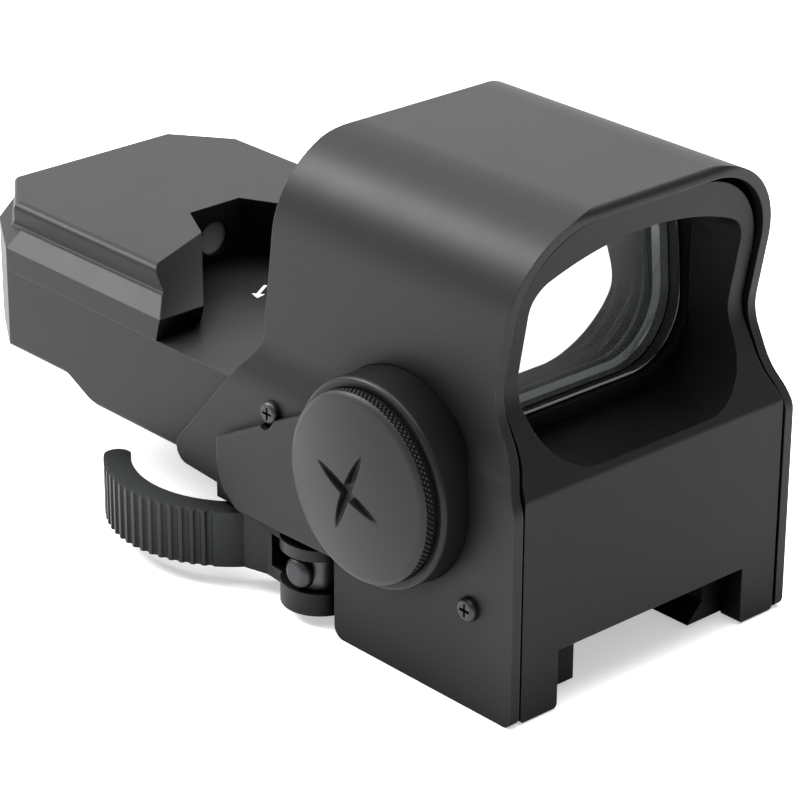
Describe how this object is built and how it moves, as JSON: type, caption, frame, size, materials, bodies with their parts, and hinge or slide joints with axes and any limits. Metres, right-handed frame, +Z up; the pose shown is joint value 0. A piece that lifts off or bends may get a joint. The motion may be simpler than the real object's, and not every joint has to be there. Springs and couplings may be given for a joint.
{
  "type": "red dot finder",
  "caption": "Holographic-style red dot finder with a hooded window, a low rear housing with a flared cover, a side battery cap and a cam-lever rail clamp",
  "frame": {"origin": "centre of the flat seat that rests on the rail, midway between the two clamping hooks", "axes": "+Z up, away from the rail; +Y along the rail to the rear, towards the user's eye; +X to the user's right, with the battery cap and the lever on -X"},
  "size_m": [0.0505, 0.0999, 0.0537],
  "materials": {
    "hood_shell": "satin black anodised",
    "window_frame": "matte black anodised",
    "lens_frame": "matte black anodised",
    "lens_front": "coated",
    "lens_rear": "coated",
    "lens_gasket": "matte",
    "base": "matte black anodised",
    "locating_pins": "ground",
    "rear_housing": "satin black anodised",
    "top_cover": "satin black anodised",
    "port_window": "polished",
    "adjust_arrow": "paint fill",
    "battery_cup": "satin black anodised",
    "battery_contact": "bright",
    "coin_cell": "bright",
    "battery_cap": "satin black anodised",
    "cap_oring": "matte",
    "clamp_jaw": "matte black anodised",
    "thrust_plate": "blackened",
    "guide_pins": "ground",
    "jaw_springs": "wire",
    "recoil_lug": "blackened",
    "cross_bolt": "blackened",
    "tension_nut": "blackened",
    "lever_barrel": "blackened",
    "qd_lever": "matte black anodised",
    "windage_slide": "moulded",
    "emitter_carriage": "moulded",
    "led_emitter": "clear red",
    "reticle_disc": "etched",
    "selector_knob": "satin black anodised",
    "elevation_screw": "blackened",
    "windage_screw": "blackened",
    "elevation_spring": "wire",
    "windage_spring": "wire",
    "circuit_board": "solder mask",
    "board_chips": "moulded",
    "dimmer_switch": "moulded",
    "brightness_knob": "satin black anodised",
    "knob_set_screw": "blackened",
    "shell_screws": "blackened",
    "cover_screws": "blackened",
    "deck_screws": "blackened"
  },
  "bodies": {
    "sight_body": {"hood_shell": "hood_shell", "window_frame": "window_frame", "lens_frame": "lens_frame", "lens_front": "lens_front", "lens_rear": "lens_rear", "lens_gasket": "lens_gasket", "base": "base", "locating_pins": "locating_pins", "rear_housing": "rear_housing", "top_cover": "top_cover", "port_window": "port_window", "adjust_arrow": "adjust_arrow", "battery_cup": "battery_cup", "battery_contact": "battery_contact", "coin_cell": "coin_cell", "guide_pins": "guide_pins", "jaw_springs": "jaw_springs", "recoil_lug": "recoil_lug", "cross_bolt": "cross_bolt", "tension_nut": "tension_nut", "lever_barrel": "lever_barrel", "elevation_spring": "elevation_spring", "windage_spring": "windage_spring", "circuit_board": "circuit_board", "board_chips": "board_chips", "dimmer_switch": "dimmer_switch", "shell_screws": "shell_screws", "cover_screws": "cover_screws", "deck_screws": "deck_screws"},
    "lever": {"qd_lever": "qd_lever"},
    "jaw": {"clamp_jaw": "clamp_jaw", "thrust_plate": "thrust_plate"},
    "cap_carrier": {"cap_oring": "cap_oring"},
    "cap": {"battery_cap": "battery_cap"},
    "brightness": {"brightness_knob": "brightness_knob", "knob_set_screw": "knob_set_screw"},
    "windage_adjuster": {"windage_screw": "windage_screw"},
    "elevation_adjuster": {"elevation_screw": "elevation_screw"},
    "windage_stage": {"windage_slide": "windage_slide"},
    "emitter_stage": {"emitter_carriage": "emitter_carriage", "led_emitter": "led_emitter"},
    "reticle_wheel": {"selector_knob": "selector_knob", "reticle_disc": "reticle_disc"}
  },
  "joints": [
    {"name": "lever_swing", "type": "hinge", "parent": "sight_body", "child": "lever", "pos_m": [-0.0182, 0.0076, -0.001], "axis": [0, 0, 1], "range_deg": [0, 90]},
    {"name": "jaw_travel", "type": "slide", "parent": "sight_body", "child": "jaw", "axis": [-1, 0, 0], "range_m": [0, 0.0012]},
    {"name": "cap_travel", "type": "slide", "parent": "sight_body", "child": "cap_carrier", "axis": [-1, 0, 0], "range_m": [0, 0.0015]},
    {"name": "cap_turn", "type": "hinge", "parent": "cap_carrier", "child": "cap", "pos_m": [-0.025, -0.0068, 0.0156], "axis": [-1, 0, 0], "range_deg": [0, 720]},
    {"name": "brightness_turn", "type": "hinge", "parent": "sight_body", "child": "brightness", "pos_m": [0.021, 0.057, 0.0124], "axis": [1, 0, 0], "range_deg": [0, 330]},
    {"name": "windage_turn", "type": "hinge", "parent": "sight_body", "child": "windage_adjuster", "pos_m": [0.019, 0.044, 0.0122], "axis": [1, 0, 0], "range_deg": [-540, 540]},
    {"name": "windage_shift", "type": "slide", "parent": "sight_body", "child": "windage_stage", "axis": [1, 0, 0], "range_m": [-0.0005, 0.0005]},
    {"name": "elevation_turn", "type": "hinge", "parent": "sight_body", "child": "elevation_adjuster", "pos_m": [0.005, 0.031, 0.0165], "axis": [0, 0, 1], "range_deg": [-540, 540]},
    {"name": "elevation_shift", "type": "slide", "parent": "windage_stage", "child": "emitter_stage", "axis": [0, 0, 1], "range_m": [-0.0005, 0.0005]},
    {"name": "reticle_select", "type": "hinge", "parent": "emitter_stage", "child": "reticle_wheel", "pos_m": [0, 0.0725, 0.0172], "axis": [0, 1, 0], "range_deg": [0, 270]}
  ],
  "couplings": [
    {"joint": "lever_swing", "follows": "jaw_travel", "rad_per_m": 1309},
    {"joint": "cap_turn", "follows": "cap_travel", "rad_per_m": 8377.6},
    {"joint": "windage_turn", "follows": "windage_shift", "rad_per_m": 18850},
    {"joint": "elevation_turn", "follows": "elevation_shift", "rad_per_m": 18850}
  ]
}
